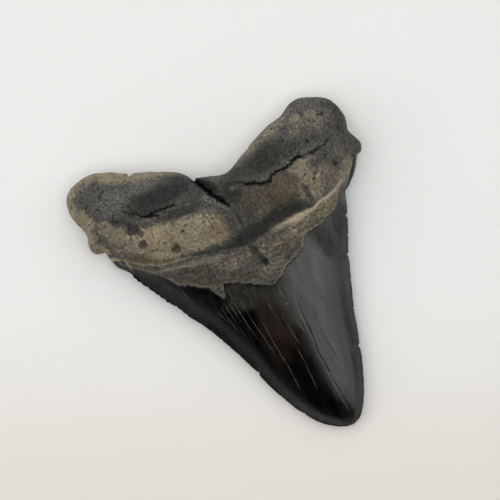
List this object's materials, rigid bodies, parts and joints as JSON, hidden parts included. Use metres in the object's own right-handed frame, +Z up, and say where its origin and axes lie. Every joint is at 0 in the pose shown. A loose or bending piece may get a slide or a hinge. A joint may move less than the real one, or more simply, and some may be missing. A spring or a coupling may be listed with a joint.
{
  "type": "fossil shark tooth",
  "caption": "Large triangular fossil shark tooth lying flat: broad two-lobed root with a crack and fissures, tan band below it, glossy black crown with fine serrated edges",
  "frame": {"origin": "on the ground under the middle of the tooth's outline box", "axes": "+Z up through the inner face, +Y from the tip to the root, +X to the right lobe seen from above with the root at the top"},
  "size_m": [0.0879, 0.1014, 0.0227],
  "materials": {
    "fossil_tooth": "matt mottled grey and tan on the root, glossy black on the crown"
  },
  "bodies": {
    "root": {"tooth": "fossil_tooth"}
  },
  "joints": []
}
